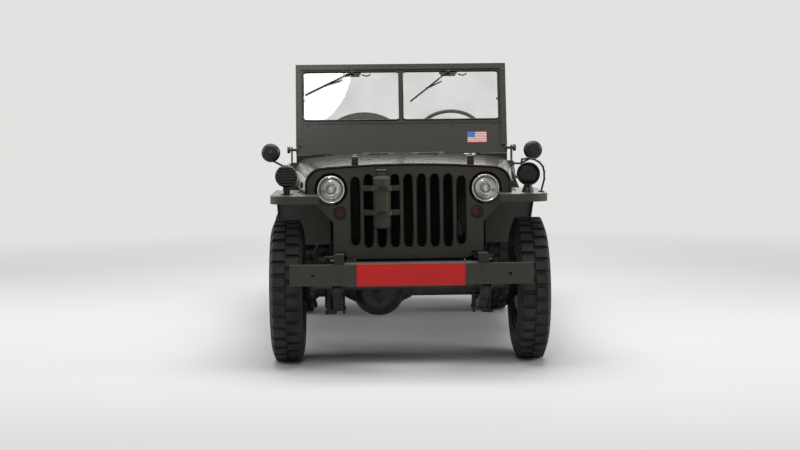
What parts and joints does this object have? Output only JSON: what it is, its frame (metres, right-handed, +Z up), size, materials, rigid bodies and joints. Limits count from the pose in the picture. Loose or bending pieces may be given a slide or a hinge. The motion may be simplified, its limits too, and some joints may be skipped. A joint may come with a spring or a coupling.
{
  "type": "army utility car",
  "caption": "Open army utility car with four-wheel drive, slotted grille, flat wings, folding windshield and a spare wheel on the rear panel.",
  "frame": {"origin": "on the ground, under the middle of the car's bounding box", "axes": "+X to the car's left side, +Y to its tail, +Z up; the car faces -Y"},
  "size_m": [1.62, 3.331, 1.5629],
  "materials": {
    "body_paint": "semi-gloss dark olive paint, worn",
    "wheel_paint": "dark olive paint",
    "chassis_black": "black chassis paint, dusty",
    "bright_metal": "bright rim ring and bowl",
    "clear_glass": "clear glass",
    "red_lens": "dark red lens",
    "canvas": "olive canvas",
    "hard_rubber": "black hard rubber",
    "tyre": "black tyre rubber",
    "engine_iron": "painted cast iron"
  },
  "bodies": {
    "chassis": {"frame_rails": "chassis_black", "front_bumper": "body_paint", "rear_bumperettes": "body_paint", "body_floor": "body_paint", "body_side_left": "body_paint", "body_side_right": "body_paint", "body_rear_panel": "body_paint", "wheel_houses": "body_paint", "cowl": "body_paint", "grille": "body_paint", "front_wings": "body_paint", "headlamps": "bright_metal", "headlamp_lenses": "clear_glass", "marker_lamps": "red_lens", "blackout_lamp": "body_paint", "siren": "body_paint", "mirrors": "body_paint", "decontaminator": "body_paint", "radiator": "chassis_black", "engine": "engine_iron", "gearbox": "engine_iron", "front_axle": "chassis_black", "rear_axle": "chassis_black", "propeller_shafts": "chassis_black", "leaf_springs": "chassis_black", "shock_absorbers": "chassis_black", "exhaust": "chassis_black", "steering_gear": "chassis_black", "seat_frames": "body_paint", "seat_cushions": "canvas", "hand_controls": "chassis_black", "tail_lamps": "red_lens", "rear_fittings": "chassis_black", "wheel_spare": "wheel_paint", "tyre_spare": "tyre"},
    "hood": {"hood": "body_paint"},
    "windshield": {"windshield_frame": "body_paint", "windshield_glass": "clear_glass", "wipers": "hard_rubber"},
    "steering_wheel": {"steering_wheel": "hard_rubber"},
    "knuckle_left": {"steering_knuckle_left": "chassis_black"},
    "knuckle_right": {"steering_knuckle_right": "chassis_black"},
    "tie_rod": {"tie_rod": "chassis_black"},
    "front_left_wheel": {"wheel_front_left": "wheel_paint", "tyre_front_left": "tyre"},
    "front_right_wheel": {"wheel_front_right": "wheel_paint", "tyre_front_right": "tyre"},
    "rear_left_wheel": {"wheel_rear_left": "wheel_paint", "tyre_rear_left": "tyre"},
    "rear_right_wheel": {"wheel_rear_right": "wheel_paint", "tyre_rear_right": "tyre"}
  },
  "joints": [
    {"name": "hood_open", "type": "hinge", "parent": "chassis", "child": "hood", "pos_m": [0, -0.3985, 1.045], "axis": [-1, 0, 0], "range_deg": [0, 110]},
    {"name": "windshield_fold", "type": "hinge", "parent": "chassis", "child": "windshield", "pos_m": [0, -0.1405, 1.069], "axis": [-1, 0, 0], "range_deg": [-96, 0]},
    {"name": "steer_left", "type": "hinge", "parent": "chassis", "child": "knuckle_left", "pos_m": [0.5, -1.1405, 0.365], "axis": [0, 0, 1], "range_deg": [-26, 26]},
    {"name": "steer_right", "type": "hinge", "parent": "chassis", "child": "knuckle_right", "pos_m": [-0.5, -1.1405, 0.365], "axis": [0, 0, 1], "range_deg": [-26, 26]},
    {"name": "tie_rod_swing", "type": "hinge", "parent": "knuckle_left", "child": "tie_rod", "pos_m": [0.5, -1.3055, 0.365], "axis": [0, 0, 1], "range_deg": [-26, 26]},
    {"name": "steering_wheel_turn", "type": "hinge", "parent": "chassis", "child": "steering_wheel", "pos_m": [0.303, 0.2795, 1.114], "axis": [0, 0.8192, 0.5736], "range_deg": [-364, 364]},
    {"name": "front_left_spin", "type": "hinge", "parent": "knuckle_left", "child": "front_left_wheel", "pos_m": [0.6225, -1.1405, 0.365], "axis": [1, 0, 0], "continuous": true},
    {"name": "front_right_spin", "type": "hinge", "parent": "knuckle_right", "child": "front_right_wheel", "pos_m": [-0.6225, -1.1405, 0.365], "axis": [1, 0, 0], "continuous": true},
    {"name": "rear_left_spin", "type": "hinge", "parent": "chassis", "child": "rear_left_wheel", "pos_m": [0.6225, 0.8915, 0.365], "axis": [1, 0, 0], "continuous": true},
    {"name": "rear_right_spin", "type": "hinge", "parent": "chassis", "child": "rear_right_wheel", "pos_m": [-0.6225, 0.8915, 0.365], "axis": [1, 0, 0], "continuous": true}
  ],
  "couplings": [
    {"joint": "steer_right", "follows": "steer_left", "ratio": 1},
    {"joint": "tie_rod_swing", "follows": "steer_left", "ratio": -1},
    {"joint": "steering_wheel_turn", "follows": "steer_left", "ratio": 14}
  ]
}
